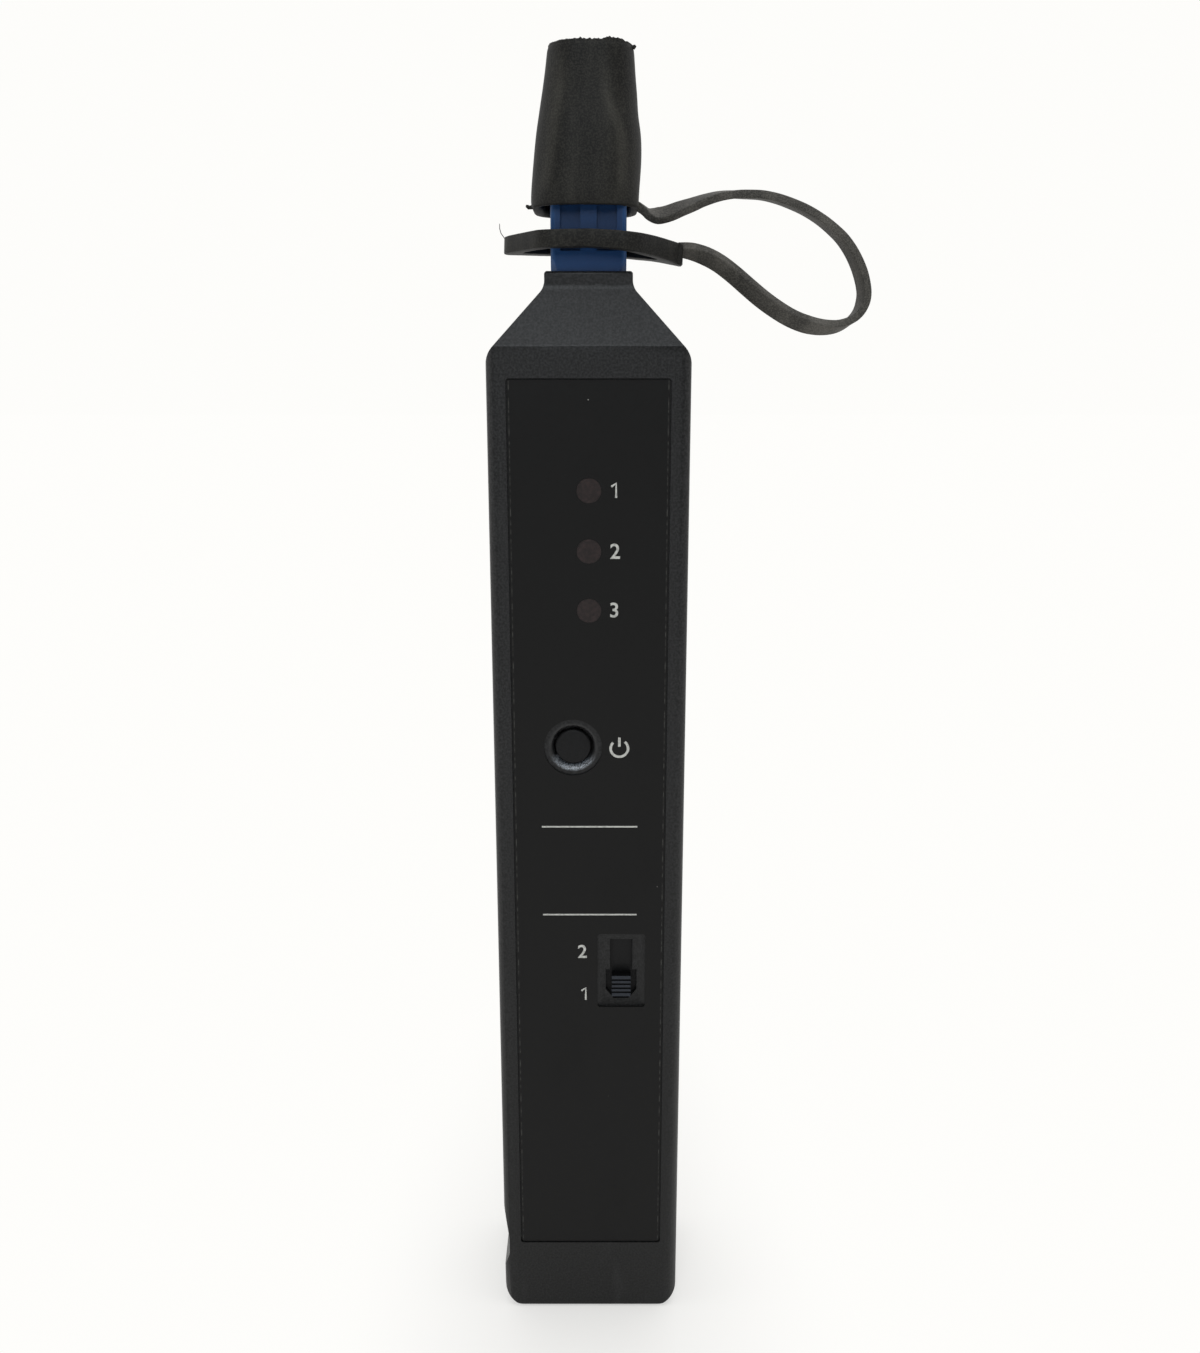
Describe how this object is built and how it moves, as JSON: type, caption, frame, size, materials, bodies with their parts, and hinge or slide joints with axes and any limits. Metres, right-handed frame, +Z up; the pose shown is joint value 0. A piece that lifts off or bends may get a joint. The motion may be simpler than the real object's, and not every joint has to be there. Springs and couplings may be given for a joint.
{
  "type": "optical light source",
  "caption": "Pocket fibre-optic light source: upright black housing with indicator lenses, power button, mode switch and a blue fibre port under a tethered rubber dust cap.",
  "frame": {"origin": "centre of the housing's flat base", "axes": "+Z up along the housing towards the port, the front face looks along -Y, +X to the right as seen from the front"},
  "size_m": [0.0486, 0.02, 0.1734],
  "materials": {
    "case_plastic": "fine matt texture",
    "overlay_film": "matt film",
    "indicator_red": "dark tinted",
    "control_plastic": "satin",
    "screw_steel": "plain",
    "board_green": "solder mask",
    "lamp_red": "clear red",
    "switch_metal": "plain",
    "plunger_plastic": "plain",
    "chip_black": "moulded",
    "capacitor_metal": "plain",
    "trimmer_blue": "plain",
    "laser_gold": "plated",
    "barrel_steel": "turned",
    "ceramic_white": "ground",
    "latch_white": "moulded",
    "port_blue": "glossy moulded",
    "tray_plastic": "moulded",
    "contact_nickel": "plated",
    "cell_wrap": "plain wrap",
    "lead_red": "insulated wire",
    "lead_black": "insulated wire",
    "cap_rubber": "dull with faint streaks"
  },
  "bodies": {
    "housing": {"front_shell": "case_plastic", "rear_shell": "case_plastic", "front_overlay": "overlay_film", "indicator_lens_upper": "indicator_red", "indicator_lens_middle": "indicator_red", "indicator_lens_lower": "indicator_red", "case_screws": "screw_steel", "board_screws": "screw_steel", "receptacle_screws": "screw_steel", "circuit_board": "board_green", "led_upper": "lamp_red", "led_middle": "lamp_red", "led_lower": "lamp_red", "tact_switch": "switch_metal", "slide_switch_base": "switch_metal", "controller_chip": "chip_black", "laser_driver_chip": "chip_black", "power_inductor": "chip_black", "chip_resistors": "chip_black", "smoothing_capacitors": "capacitor_metal", "clock_crystal": "capacitor_metal", "output_trimmer": "trimmer_blue", "laser_can": "laser_gold", "laser_leads": "laser_gold", "laser_barrel": "barrel_steel", "fiber_stub": "ceramic_white", "alignment_sleeve": "ceramic_white", "port_latch": "latch_white", "port_adapter": "port_blue", "battery_tray": "tray_plastic", "battery_contacts": "contact_nickel", "battery_springs": "contact_nickel", "battery_cell_left": "cell_wrap", "battery_cell_right": "cell_wrap", "battery_lead_red": "lead_red", "battery_lead_black": "lead_black", "tether_ring": "cap_rubber", "tether_strap": "cap_rubber"},
    "power_button": {"power_button": "control_plastic", "tact_plunger": "plunger_plastic"},
    "mode_switch": {"mode_switch_knob": "control_plastic"},
    "battery_door": {"battery_door": "case_plastic"},
    "dust_cap": {"dust_cap": "cap_rubber"}
  },
  "joints": [
    {"name": "button_press", "type": "slide", "parent": "housing", "child": "power_button", "axis": [0, 1, 0], "range_m": [0, 0.0004], "stiffness_N_per_m": 1500},
    {"name": "switch_slide", "type": "slide", "parent": "housing", "child": "mode_switch", "axis": [0, 0, 1], "range_m": [0, 0.0045]},
    {"name": "door_slide", "type": "slide", "parent": "housing", "child": "battery_door", "axis": [0, 0, -1], "range_m": [0, 0.008]},
    {"name": "cap_pull", "type": "slide", "parent": "housing", "child": "dust_cap", "axis": [0, 0, 1], "range_m": [0, 0.014], "deforming": ["tether_strap"]}
  ]
}
